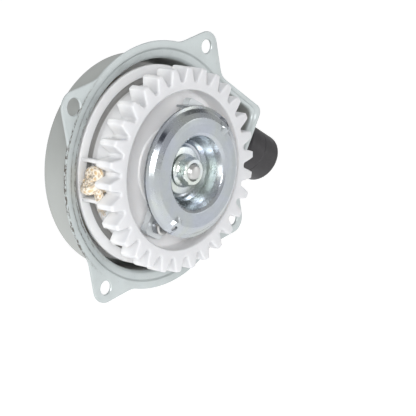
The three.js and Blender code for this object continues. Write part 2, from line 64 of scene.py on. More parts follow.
def box_mm(node):
    """Lowest and highest corner of a CAD node as (x, y, w) in millimetres."""
    low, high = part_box(node)
    return (
        np.array([low.x, low.z, -high.y]) / MM,
        np.array([high.x, high.z, -low.y]) / MM,
    )


def radius_of(node):
    """Outer radius in millimetres of a CAD node that is round about w."""
    low, high = box_mm(node)
    return (high[1] - low[1]) / 2


case_low, _ = box_mm("case")
reel_low, reel_high = box_mm("reel")
_, plate_high = box_mm("friction_plate")
washer_low, washer_high = box_mm("plate_washer")
nut_low, nut_high = box_mm("flange_nut")
stud_low, stud_high = box_mm("centre_stud")
winding_low, winding_high = box_mm("rope_winding")

SHEET = 1.5
CASE_BACK = case_low[2]
FLANGE_R = 63.4
CREASE_R = 59.6
DRUM_R = 54.1
BOLT_CIRCLE_R = 67.8
EAR_ANGLES = (57.0, 147.0, 237.0, 327.0)
EAR_HOLE_R = (3.6, 4.4, 3.6, 3.6)
EAR_TIP_R = 7.8
CORNER_EDGE = 60.1
CORNER_TOP_ANGLE = 56.7
OUTLET_ANGLE = -30.0
LOBE_EDGE = 55.8
LOBE_FLOOR = -20.0

GEAR_TIP_R = radius_of("reel")
GEAR_ROOT_R = 44.7
GEAR_FRONT = reel_high[2]
GEAR_BACK = 8.0
TEETH = 30
FIRST_TOOTH = 1.1
CROWN_INNER_R = 40.4
RECESS_FLOOR = 8.0
SHEAVE_R = 51.0
GROOVE_R = (41.8, 45.4)
REEL_BACK = reel_low[2]

ROPE_R = 2.3
ROPE_AXIS_OFFSET = 36.5
ROPE_W = -12.5
POCKET_ANGLE = 180.5

PLATE_RIM_R = radius_of("friction_plate")
PLATE_TOP = plate_high[2]
PLATE_SHEET = 1.15
NIB_ANGLES = (46.0, 236.0)
NIB_R = 29.6
LEG_ANGLES = (84.0, 264.0)

NUT_ACROSS_FLATS = 13.0
NUT_FLANGE_R = 8.5
STUD_R = 4.0
THREAD_PITCH = 1.25
THREAD_DEPTH = 0.62

HANDLE_R = 13.0
HANDLE_NOSE = 58.9
HANDLE_END = 85.6

FLOOR_DROP = 0.62
FLOOR_HALF = 40.0


def polar(radius, degrees):
    """The plan point at a radius and an angle in degrees."""
    angle = math.radians(degrees)
    return np.array([radius * math.cos(angle), radius * math.sin(angle)])


rope_direction = polar(1, OUTLET_ANGLE)
rope_across = polar(1, OUTLET_ANGLE + 90)


def on_rope_line(across, depth, along):
    """A point beside the rope's line: across it in the plan, along w, and along the rope."""
    plan = rope_across * (ROPE_AXIS_OFFSET + across) + rope_direction * along
    return np.array([plan[0], plan[1], ROPE_W + depth])


# ---- camera and light ----------------------------------------------------------------------------------------

def add_camera():
    """The camera, one metre from the case, at the photograph's angle and framing."""
    data = bpy.data.cameras.new("camera")
    data.sensor_width = 36.0
    data.lens = 171.1
    camera = bpy.data.objects.new("camera", data)
    bpy.context.scene.collection.objects.link(camera)
    azimuth, elevation = math.radians(-47.14), math.radians(12.45)
    distance, aim_right, aim_up = 1.0, 0.02569, -0.02150
    back = Vector((math.sin(azimuth) * math.cos(elevation), -math.cos(azimuth) * math.cos(elevation),
                   math.sin(elevation)))
    right = Vector((math.cos(azimuth), math.sin(azimuth), 0))
    up = back.cross(right)
    place = back * distance + right * aim_right + up * aim_up
    turn = Matrix((right, up, back)).transposed().to_4x4()
    camera.matrix_world = Matrix.Translation(place) @ turn
    bpy.context.scene.camera = camera


def add_area_light(name, place, size, power):
    """A white soft box that faces the origin."""
    data = bpy.data.lights.new(name, "AREA")
    data.shape = "RECTANGLE"
    data.size, data.size_y = size
    data.energy = power
    light = bpy.data.objects.new(name, data)
    bpy.context.scene.collection.objects.link(light)
    light.location = place
    light.rotation_euler = (-Vector(place)).to_track_quat("-Z", "Y").to_euler()


def add_world():
    """White surroundings with two dark zones, which give the bright metal something to reflect."""
    world = bpy.data.worlds.new("studio")
    world.use_nodes = True
    nodes, links = world.node_tree.nodes, world.node_tree.links
    background = nodes["Background"]
    background.inputs["Strength"].default_value = 0.58
    place = nodes.new("ShaderNodeTexCoord")
    shade = None
    zones = (((-0.50, -0.53, 0.68), 0.10, 0.98), ((0.72, -0.02, 0.70), 0.09, 0.75))
    for direction, width, depth in zones:
        dot = nodes.new("ShaderNodeVectorMath")
        dot.operation = "DOT_PRODUCT"
        links.new(place.outputs["Generated"], dot.inputs[0])
        dot.inputs[1].default_value = Vector(direction).normalized()
        zone = nodes.new("ShaderNodeMapRange")
        zone.interpolation_type = "SMOOTHSTEP"
        zone.inputs["From Min"].default_value = 1 - width
        zone.inputs["From Max"].default_value = 1 - width * 0.45
        zone.inputs["To Min"].default_value = 1.0
        zone.inputs["To Max"].default_value = 1 - depth
        links.new(dot.outputs["Value"], zone.inputs["Value"])
        if shade is None:
            shade = zone.outputs["Result"]
        else:
            both = nodes.new("ShaderNodeMath")
            both.operation = "MULTIPLY"
            links.new(shade, both.inputs[0])
            links.new(zone.outputs["Result"], both.inputs[1])
            shade = both.outputs[0]
    colour = nodes.new("ShaderNodeMix")
    colour.data_type = "RGBA"
    links.new(shade, colour.inputs["Factor"])
    colour.inputs[6].default_value = (0.012, 0.02, 0.045, 1)
    colour.inputs[7].default_value = (1, 1, 1, 1)
    links.new(colour.outputs[2], background.inputs["Color"])
    bpy.context.scene.world = world


def add_stage():
    """A plain pale floor, below the handle at the end of its pull, white surroundings and soft boxes."""
    floor_z = case_low[1] * MM - FLOOR_DROP
    mesh = bpy.data.meshes.new("floor")
    corners = [(x * FLOOR_HALF, y * FLOOR_HALF, floor_z) for x, y in ((-1, -1), (1, -1), (1, 1), (-1, 1))]
    mesh.from_pydata(corners, [], [(0, 1, 2, 3)])
    floor = bpy.data.objects.new("floor", mesh)
    bpy.context.scene.collection.objects.link(floor)
    material = bpy.data.materials.new("floor_white")
    material.use_nodes = True
    shader = material.node_tree.nodes["Principled BSDF"]
    shader.inputs["Base Color"].default_value = (0.7, 0.7, 0.7, 1)
    shader.inputs["Roughness"].default_value = 0.9
    shader.inputs["Emission Color"].default_value = (1, 1, 1, 1)
    shader.inputs["Emission Strength"].default_value = 0.68
    mesh.materials.append(material)

    add_world()
    add_area_light("key", (-0.90, -0.84, 0.36), (0.5, 0.5), 11.0)
    add_area_light("side", (-0.95, -0.10, -0.02), (0.24, 0.55), 1.4)
    add_area_light("fill", (0.65, -0.75, 0.15), (0.2, 0.5), 0.7)
    add_area_light("top", (0.25, 0.25, 0.80), (0.6, 0.4), 1.2)
    bpy.context.scene.view_settings.view_transform = "Standard"


# ---- mesh helpers --------------------------------------------------------------------------------------------

def new_object(name, mesh):
    """An object of its own for a mesh, in the scene."""
    piece = bpy.data.objects.new(name, mesh)
    bpy.context.scene.collection.objects.link(piece)
    return piece


def to_row(points):
    """Plan points (x, y, w) in millimetres to row frame metres."""
    points = np.asarray(points, float)
    return np.stack([points[..., 0], -points[..., 2], points[..., 1]], axis=-1) * MM


def mark_sharp(mesh, degrees):
    """Smooth shading, with an edge kept sharp where its faces meet at more than the angle."""
    for polygon in mesh.polygons:
        polygon.use_smooth = True
    work = bmesh.new()
    work.from_mesh(mesh)
    limit = math.radians(degrees)
    for edge in work.edges:
        edge.smooth = len(edge.link_faces) == 2 and edge.calc_face_angle(0.0) < limit
    work.to_mesh(mesh)
    work.free()


def face_outwards(mesh):
    """Turns every face of a closed mesh outwards."""
    work = bmesh.new()
    work.from_mesh(mesh)
    bmesh.ops.recalc_face_normals(work, faces=work.faces)
    work.to_mesh(mesh)
    work.free()


def mesh_from(name, vertices, faces, uvs=None):
    """A mesh from row frame points, with a UV for each vertex where they are given."""
    mesh = bpy.data.meshes.new(name)
    mesh.from_pydata([tuple(v) for v in vertices], [], [tuple(int(i) for i in f) for f in faces])
    if uvs is not None:
        layer = mesh.uv_layers.new(name="along")
        loops = np.zeros(len(mesh.loops), int)
        mesh.loops.foreach_get("vertex_index", loops)
        layer.data.foreach_set("uv", np.asarray(uvs)[loops].reshape(-1))
    face_outwards(mesh)
    return mesh


def mesh_from_rings(name, rings, columns):
    """A closed mesh from plan rings, the last one joined to the first."""
    return mesh_from(name, to_row(np.array(rings)).reshape(-1, 3), ring_faces(len(rings), columns, True))


def ring_at(radius, w, angles):
    """A ring of plan points at angles in radians; its radius may be one value or one for each angle."""
    return np.stack([radius * np.cos(angles), radius * np.sin(angles), np.full(len(angles), float(w))], -1)


def even_angles(columns):
    return np.radians(np.arange(columns) * 360.0 / columns)


def ring_faces(rings, columns, closed):
    """Quads between rings of equal length that wrap round; closed joins the last ring to the first."""
    rows = np.arange(rings if closed else rings - 1)
    a, b = np.meshgrid(rows, np.arange(columns), indexing="ij")
    c, d = (a + 1) % rings, (b + 1) % columns
    return np.stack([a * columns + b, a * columns + d, c * columns + d, c * columns + b], -1).reshape(-1, 4)


def rounded(points, closed=True, steps=4):
    """A polyline of (r, w, fillet) with its corners rounded."""
    out = []
    count = len(points)
    for i, (r, w, fillet) in enumerate(points):
        here = np.array([r, w], float)
        if fillet <= 0 or (not closed and i in (0, count - 1)):
            out.append(here)
            continue
        before = np.array(points[i - 1][:2], float) - here
        after = np.array(points[(i + 1) % count][:2], float) - here
        reach_b, reach_a = np.linalg.norm(before), np.linalg.norm(after)
        turn = math.acos(np.clip(before @ after / (reach_b * reach_a), -1, 1))
        cut = min(fillet / max(math.tan(turn / 2), 1e-3), 0.46 * reach_b, 0.46 * reach_a)
        start, end = here + before / reach_b * cut, here + after / reach_a * cut
        for k in range(steps + 1):
            t = k / steps
            out.append(start * (1 - t) ** 2 + here * 2 * t * (1 - t) + end * t * t)
    return np.array(out)


def revolve(name, profile, columns=144, closed=True):
    """A solid of revolution about w from an (r, w) profile: closed, or open with both ends on the axis."""
    angles = even_angles(columns)
    r, w = profile[:, 0][:, None], profile[:, 1][:, None]
    grid = np.stack([r * np.cos(angles), r * np.sin(angles), w + 0 * angles], -1)
    if closed:
        return mesh_from(name, to_row(grid).reshape(-1, 3), ring_faces(len(profile), columns, True))
    inner = grid[1:-1]
    vertices = list(to_row(inner).reshape(-1, 3))
    faces = ring_faces(len(inner), columns, False).tolist()
    for ring, end in ((0, profile[0]), (len(inner) - 1, profile[-1])):
        vertices.append(to_row(np.array([0.0, 0.0, end[1]])))
        centre = len(vertices) - 1
        faces += [[ring * columns + j, ring * columns + (j + 1) % columns, centre] for j in range(columns)]
    return mesh_from(name, vertices, faces)


def lay_along_rope(mesh):
    """Moves a mesh turned about w onto the rope's line, its w pointing along the rope."""
    basis = Matrix((
        (rope_across[0], 0, rope_direction[0]),
        (0, -1, 0),
        (rope_across[1], 0, rope_direction[1]),
    ))
    origin = on_rope_line(0, 0, 0)
    for vertex in mesh.vertices:
        x, y, w = vertex.co.x, vertex.co.z, -vertex.co.y
        vertex.co = basis @ Vector((x, y, w)) + Vector(to_row(origin))
    face_outwards(mesh)


def sweep(name, path, radius, sides=16, taper=None):
    """A round tube along plan points, with capped ends and UVs that run along and round it."""
    path = np.asarray(path, float)
    tangents = np.gradient(path, axis=0)
    tangents /= np.linalg.norm(tangents, axis=1)[:, None]
    side = np.cross(tangents[0], [0.0, 0.0, 1.0])
    if np.linalg.norm(side) < 0.1:
        side = np.cross(tangents[0], [1.0, 0.0, 0.0])
    side /= np.linalg.norm(side)
    travel = np.concatenate([[0], np.cumsum(np.linalg.norm(np.diff(path, axis=0), axis=1))])
    vertices, uvs = [], []
    for i, (centre, tangent) in enumerate(zip(path, tangents)):
        side = side - tangent * (side @ tangent)
        side /= np.linalg.norm(side)
        normal = np.cross(tangent, side)
        size = radius if taper is None else radius * taper[i]
        for k in range(sides):
            angle = 2 * math.pi * k / sides
            vertices.append(centre + size * (side * math.cos(angle) + normal * math.sin(angle)))
            uvs.append((travel[i] * MM, k / sides))
    faces = ring_faces(len(path), sides, False).tolist()
    for ring, sign in ((0, -1), (len(path) - 1, 1)):
        size = radius if taper is None else radius * taper[ring]
        vertices.append(path[ring] + tangents[ring] * sign * size * 0.35)
        uvs.append((travel[ring] * MM, 0.5))
        centre = len(vertices) - 1
        faces += [[ring * sides + j, ring * sides + (j + 1) % sides, centre] for j in range(sides)]
    return mesh_from(name, to_row(np.array(vertices)), faces, uvs)


def spline(points, per_span=12):
    """Catmull-Rom through plan points."""
    points = [np.array(p, float) for p in points]
    points = [2 * points[0] - points[1], *points, 2 * points[-1] - points[-2]]
    out = []
    for i in range(1, len(points) - 2):
        a, b, c, d = points[i - 1:i + 3]
        for k in range(per_span):
            t = k / per_span
            out.append(0.5 * (2 * b + (c - a) * t + (2 * a - 5 * b + 4 * c - d) * t * t
                              + (3 * b - a - 3 * c + d) * t ** 3))
    out.append(points[-2])
    return np.array(out)


def join(name, meshes):
    """Several meshes as one piece."""
    work = bmesh.new()
    for mesh in meshes:
        work.from_mesh(mesh)
    joined = bpy.data.meshes.new(name)
    work.to_mesh(joined)
    work.free()
    return joined


def cut(piece, cutters):
    """Cuts the meshes away from the piece, exactly."""
    for i, mesh in enumerate(cutters):
        tool = new_object(f"cutter_{i}", mesh)
        modifier = piece.modifiers.new("cut", "BOOLEAN")
        modifier.operation = "DIFFERENCE"
        modifier.solver = "EXACT"
        modifier.object = tool
        bpy.context.view_layer.update()
        done = bpy.data.meshes.new_from_object(piece.evaluated_get(bpy.context.evaluated_depsgraph_get()))
        piece.modifiers.clear()
        piece.data = done
        bpy.data.objects.remove(tool)


def place(piece, sharp, body, node, slot, material):
    """Finishes a new piece: sharp edges, material, the body it rides on and the node it replaces; the slot is
    not used.
    """
    mark_sharp(piece.data, sharp)
    piece.data.materials.clear()
    piece.data.materials.append(material)
    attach(piece, body)
    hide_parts(node)


# ---- materials -----------------------------------------------------------------------------------------------

class Look:
    """A procedural material: a Principled shader with noise helpers in object space."""

    def __init__(self, name):
        self.material = bpy.data.materials.new(name)
        self.material.use_nodes = True
        self.tree = self.material.node_tree
        self.shader = self.tree.nodes["Principled BSDF"]
        self.place = self.tree.nodes.new("ShaderNodeTexCoord")

    def set(self, **values):
        for key, value in values.items():
            self.shader.inputs[key.replace("_", " ")].default_value = value
        return self

    def link(self, source, target):
        self.tree.links.new(source, target)

    def node(self, kind, inputs=None, **settings):
        node = self.tree.nodes.new(kind)
        for key, value in settings.items():
            setattr(node, key, value)
        for key, value in (inputs or {}).items():
            socket = node.inputs[key]
            if isinstance(value, bpy.types.NodeSocket):
                self.link(value, socket)
            else:
                socket.default_value = value
        return node

    def noise(self, scale, detail=3.0, roughness=0.5, stretch=None, distortion=0.0):
        vector = self.place.outputs["Object"]
        if stretch is not None:
            vector = self.node("ShaderNodeMapping", {"Vector": vector, "Scale": stretch}).outputs["Vector"]
        return self.node("ShaderNodeTexNoise", {
            "Vector": vector, "Scale": scale, "Detail": detail, "Roughness": roughness,
            "Distortion": distortion,
        }).outputs["Fac"]

    def math(self, operation, a, b=0.0, clamp=False):
        return self.node("ShaderNodeMath", {0: a, 1: b}, operation=operation, use_clamp=clamp).outputs[0]

    def between(self, value, low, high, to_low=0.0, to_high=1.0):
        return self.node("ShaderNodeMapRange", {
            "Value": value, "From Min": low, "From Max": high, "To Min": to_low, "To Max": to_high,
        }).outputs["Result"]

    def mix(self, factor, a, b):
        node = self.node("ShaderNodeMix", {"Factor": factor}, data_type="RGBA")
        for socket, value in ((node.inputs[6], a), (node.inputs[7], b)):
            if isinstance(value, bpy.types.NodeSocket):
                self.link(value, socket)
            else:
                socket.default_value = (*value, 1)
        return node.outputs[2]

    def colour(self, socket):
        self.link(socket, self.shader.inputs["Base Color"])

    def roughness(self, socket):
        self.link(socket, self.shader.inputs["Roughness"])

    def bump(self, height, strength, distance):
        node = self.node("ShaderNodeBump", {"Height": height, "Strength": strength, "Distance": distance})
        previous = self.shader.inputs["Normal"]
        if previous.is_linked:
            self.link(previous.links[0].from_socket, node.inputs["Normal"])
        self.link(node.outputs["Normal"], self.shader.inputs["Normal"])

    def radial(self):
        """Distance from the reel's axis, the plan angle in degrees and w, all in millimetres."""
        split = self.node("ShaderNodeSeparateXYZ", {"Vector": self.place.outputs["Object"]})
        x, y, z = split.outputs
        squares = self.math("ADD", self.math("MULTIPLY", x, x), self.math("MULTIPLY", z, z))
        radius = self.math("MULTIPLY", self.math("SQRT", squares), 1000.0)
        angle = self.math("MULTIPLY", self.math("ARCTAN2", z, x), math.degrees(1.0))
        return radius, angle, self.math("MULTIPLY", y, -1000.0)


def zinc_look(name, tint, dull, rough, metallic=0.85, wear=None):
    """Satin zinc plating, cloudy and fine-grained. With wear, a duller drawn wall and chipped dark edges."""
    look = Look(name).set(Metallic=metallic)
    clouds = look.noise(55.0, 4.0, 0.6)
    grains = look.noise(1900.0, 2.0, 0.5)
    base = look.mix(look.between(clouds, 0.35, 0.65), dull, tint)
    freckles = look.between(look.noise(620.0, 3.0, 0.6), 0.62, 0.74)
    base = look.mix(look.math("MULTIPLY", freckles, 0.35), base, tuple(c * 0.72 for c in dull))
    rough_map = look.between(clouds, 0.3, 0.7, rough - 0.06, rough + 0.08)
    if wear is not None:
        drawn = look.between(look.radial()[2], -3.4, -2.4, 1.0, 0.0)
        base = look.mix(drawn, base, look.mix(clouds, (0.36, 0.375, 0.36), (0.43, 0.45, 0.44)))
        mask = wear(look)
        base = look.mix(mask, base, (0.10, 0.085, 0.07))
        rough_map = look.math("ADD", rough_map, look.math("MULTIPLY", mask, 0.25))
        look.bump(look.math("SUBTRACT", 1.0, mask), 0.5, 0.00015)
    look.colour(base)
    look.roughness(rough_map)
    look.bump(grains, 0.25, 0.00006)
    return look.material


def case_wear(look):
    """Chips along the left of the flange: broken lines on its rim and on the crease inside it."""
    radius, angle, w = look.radial()

    def band(value, centre, solid, faded, strength=1.0):
        off = look.math("ABSOLUTE", look.math("SUBTRACT", value, centre))
        return look.between(off, solid, faded, strength, 0.0)

    left = band(look.math("ABSOLUTE", angle), 172.0, 20.0, 46.0)
    front = look.between(w, -1.9, -1.1)
    streak = look.node("ShaderNodeCombineXYZ", {
        0: look.math("MULTIPLY", angle, 0.42), 1: look.math("MULTIPLY", radius, 1.3),
        2: look.math("MULTIPLY", w, 1.3),
    }).outputs[0]
    lines = look.node("ShaderNodeTexNoise", {"Vector": streak, "Scale": 1.0, "Detail": 4.0, "Roughness": 0.7})
    waver = look.math("MULTIPLY", look.math("SUBTRACT", look.noise(120.0, 2.0), 0.5), 1.6)
    wavering = look.math("ADD", radius, waver)
    rim = band(radius, FLANGE_R - 0.1, 0.1, 0.8)
    crease = band(wavering, CREASE_R - 0.4, 0.1, 0.9)
    mouth = band(wavering, DRUM_R + 1.9, 0.1, 0.7, 0.85)
    where = look.math("MAXIMUM", look.math("MAXIMUM", rim, crease), mouth)
    where = look.math("MULTIPLY", look.math("MULTIPLY", where, left), front)
    spots = look.between(lines.outputs["Fac"], 0.46, 0.53)
    return look.math("MULTIPLY", where, spots, clamp=True)


def bright_look(name, tint, rough, flat_rough=None):
    """Mirror-bright zinc: a faint blue and straw cast, fine scratches, dull smudges and, where asked, a duller
    face square to the reel's axis, which the sheet had before it was pressed."""
    look = Look(name).set(Metallic=1.0)
    clouds = look.noise(70.0, 3.0, 0.55, distortion=0.4)
    straw = tuple(c * k for c, k in zip(tint, (0.98, 1.0, 0.94)))
    blue = tuple(c * k for c, k in zip(tint, (0.97, 0.99, 1.06)))
    base = look.mix(look.between(clouds, 0.35, 0.65), straw, blue)
    smudge = look.noise(160.0, 5.0, 0.7)
    rough_map = look.between(smudge, 0.35, 0.75, rough, rough + 0.14)
    if flat_rough is not None:
        normal = look.node("ShaderNodeNewGeometry").outputs["True Normal"]
        split = look.node("ShaderNodeSeparateXYZ", {"Vector": normal})
        facing = look.between(look.math("ABSOLUTE", split.outputs[1]), 0.955, 0.992)
        rough_map = look.math("ADD", rough_map, look.math("MULTIPLY", facing, flat_rough - rough))
        speckle = look.between(look.noise(1500.0, 3.0, 0.6), 0.35, 0.7)
        base = look.mix(look.math("MULTIPLY", facing, look.math("MULTIPLY", speckle, 0.45)), base,
                        tuple(c * k for c, k in zip(tint, (0.74, 0.77, 0.82))))
    look.colour(base)
    look.roughness(rough_map)
    look.bump(look.noise(900.0, 3.0, 0.6, stretch=(1.0, 4.0, 1.0)), 0.25, 0.00003)
    look.bump(look.noise(90.0, 2.0, 0.5), 0.2, 0.00006)
    return look.material


def nylon_look():
    """White nylon, with painted light and shade: painted light, lighter inside the crown; painted shade, greyer
    on the crown's face and dark in the sheave's groove.
    """
    look = Look("white_nylon").set(
        Roughness=0.42, Subsurface_Weight=0.4, Subsurface_Scale=0.004, IOR=1.53,
    )
    look.shader.inputs["Subsurface Radius"].default_value = (1.0, 0.95, 0.9)
    clouds = look.noise(40.0, 3.0, 0.55)
    base = look.mix(look.between(clouds, 0.3, 0.7), (0.735, 0.74, 0.75), (0.785, 0.785, 0.785))
    radius, _, w = look.radial()
    # painted shade: the crown's face and teeth are made greyer, a shaded copy of the same nylon
    crown = look.math("MULTIPLY", look.between(w, 11.0, 17.0), look.between(radius, 39.9, 40.3))
    base = look.mix(crown, base, (0.60, 0.605, 0.62))
    # painted light: lighter inside the crown's recess, a fill of light where the recess lies in shade
    well_painted_light = look.between(radius, 40.2, 40.6, 1.0, 0.0)
    base = look.mix(well_painted_light, base, (0.86, 0.855, 0.86))
    specks = look.between(look.noise(520.0, 4.0, 0.6), 0.66, 0.78)
    base = look.mix(look.math("MULTIPLY", specks, 0.25), base, (0.64, 0.62, 0.58))
    # painted shade: dark in the sheave's groove, where shade falls at the wall's base
    groove = look.math("MULTIPLY", look.between(w, -4.9, -4.3, 1.0, 0.0), look.between(radius, 41.0, 41.6))
    groove = look.math("MULTIPLY", groove, look.between(radius, 45.5, 45.8, 1.0, 0.0))
    groove = look.math("MULTIPLY", groove, look.between(w, -6.3, -6.1))
    base = look.mix(groove, base, (0.30, 0.295, 0.285))
    look.colour(base)
    look.roughness(look.between(look.noise(240.0), 0.3, 0.7, 0.40, 0.55))
    look.bump(look.noise(1500.0, 2.0, 0.5), 0.15, 0.00005)
    look.bump(look.noise(90.0, 2.0, 0.5), 0.2, 0.0002)
    return look.material


def rope_look():
    """Braided cream rope with gold flecks; the braid follows the piece's own UVs."""
    look = Look("braided_rope").set(Roughness=0.8, Sheen_Weight=0.3)
    split = look.node("ShaderNodeSeparateXYZ", {"Vector": look.place.outputs["UV"]})
    along = look.math("MULTIPLY", split.outputs[0], 2 * math.pi / 0.0021)
    around = look.math("MULTIPLY", split.outputs[1], 2 * math.pi * 6)
    one = look.math("SINE", look.math("ADD", along, around))
    other = look.math("SINE", look.math("SUBTRACT", along, around))
    weave = look.math("MAXIMUM", one, other)
    strands = look.noise(3000.0, 3.0, 0.6)
    base = look.mix(look.between(weave, -0.3, 0.6), (0.50, 0.38, 0.25), (0.80, 0.72, 0.60))
    half_sines = [look.math("SINE", look.math("MULTIPLY", look.math(way, along, around), 0.5))
                  for way in ("ADD", "SUBTRACT")]
    pick = look.math("MULTIPLY", *half_sines)
    flecks = look.between(look.math("ADD", pick, look.math("MULTIPLY", strands, 0.5)), 0.62, 0.85)
    base = look.mix(look.math("MULTIPLY", flecks, 0.8), base, (0.66, 0.42, 0.14))
    look.colour(look.mix(look.between(strands, 0.35, 0.7, 0.0, 0.35), base, (0.86, 0.81, 0.73)))
    look.bump(weave, 0.8, 0.00025)
    look.bump(strands, 0.5, 0.00012)
    return look.material


def plastic_look():
    """Black moulded plastic with a fine grain."""
    look = Look("black_plastic").set(IOR=1.5)
    clouds = look.noise(90.0, 3.0)
    look.colour(look.mix(clouds, (0.012, 0.011, 0.013), (0.022, 0.02, 0.023)))
    look.roughness(look.between(look.noise(300.0, 4.0, 0.6), 0.3, 0.7, 0.34, 0.5))
    look.bump(look.noise(1300.0, 2.0, 0.5), 0.3, 0.00008)
    return look.material


def metal_look(name, tint, rough):
    """Plain turned or drawn metal, slightly cloudy."""
    look = Look(name).set(Metallic=1.0)
    clouds = look.noise(130.0, 4.0, 0.6)
    look.colour(look.mix(clouds, tuple(c * 0.8 for c in tint), tint))
    look.roughness(look.between(clouds, 0.3, 0.7, rough - 0.05, rough + 0.1))
    look.bump(look.noise(1400.0, 2.0), 0.2, 0.00004)
    return look.material


case_zinc = zinc_look(
    "case_zinc_satin", (0.53, 0.572, 0.574), (0.46, 0.50, 0.50), 0.42, metallic=0.5, wear=case_wear)
cover_zinc = zinc_look("cover_zinc_satin", (0.64, 0.68, 0.68), (0.54, 0.58, 0.58), 0.36)
plate_zinc = bright_look("plate_zinc_bright", (0.47, 0.49, 0.51), 0.2, flat_rough=0.42)
pawl_zinc = zinc_look("pawl_zinc_satin", (0.70, 0.725, 0.74), (0.60, 0.63, 0.645), 0.4, metallic=0.35)
nut_zinc = bright_look("nut_zinc_bright", (0.66, 0.69, 0.68), 0.22)
stud_steel = metal_look("stud_turned_steel", (0.62, 0.62, 0.61), 0.3)
plain_steel = metal_look("plated_steel", (0.62, 0.64, 0.65), 0.3)
spring_steel = metal_look("spring_steel", (0.42, 0.43, 0.45), 0.3)
bronze = metal_look("oiled_bronze", (0.52, 0.36, 0.18), 0.35)
nylon = nylon_look()
rope = rope_look()
black_plastic = plastic_look()


# ---- case ----------------------------------------------------------------------------------------------------

def soft_min(a, b, reach):
    """The lesser of two values, blended where they are within reach of each other."""
    h = np.clip(0.5 + 0.5 * (b - a) / reach, 0, 1)
    return b * (1 - h) + a * h - reach * h * (1 - h)


def soft_max(a, b, reach):
    """The greater of two values, blended where they are within reach of each other."""
    return -soft_min(-a, -b, reach)


def corner_reach(angles, edge):
    """How far the outlet corner, at that distance from the axis to its two edges, reaches at plan angles."""
    facing_top = np.cos(np.radians(angles - CORNER_TOP_ANGLE))
    facing_side = np.cos(np.radians(angles - OUTLET_ANGLE))
    top = edge / np.maximum(facing_top, 0.2)
    side = edge / np.maximum(facing_side, 0.2)
    reach = soft_min(top, side, 6.8)
    inside = (angles > OUTLET_ANGLE) & (angles < CORNER_TOP_ANGLE)
    return np.where(inside, reach, edge)


def flange_reach(angles):
    """Radius of the flange's outer edge at plan angles: the ring, four ears and the corner."""
    reach = np.full(len(angles), FLANGE_R)
    side = BOLT_CIRCLE_R + EAR_TIP_R * math.sqrt(2)
    tangent = math.degrees(math.atan2(EAR_TIP_R / math.sqrt(2), BOLT_CIRCLE_R + EAR_TIP_R / math.sqrt(2)))
    for ear in EAR_ANGLES:
        off = np.abs((angles - ear + 180) % 360 - 180)
        near = np.radians(np.minimum(off, 30))
        rim = BOLT_CIRCLE_R * np.cos(near) + np.sqrt(
            np.maximum(EAR_TIP_R ** 2 - (BOLT_CIRCLE_R * np.sin(near)) ** 2, 0))
        flank = side / (np.cos(near) + np.sin(near))
        ear_reach = np.where(off < tangent, rim, flank)
        reach = np.where(off < 30, soft_max(reach, ear_reach, 1.6), reach)
    return soft_max(reach, corner_reach(angles, CORNER_EDGE), 1.0)


def smooth_between(value, low, high):
    """An eased step from 0 at low to 1 at high."""
    t = np.clip((value - low) / (high - low), 0, 1)
    return t * t * (3 - 2 * t)


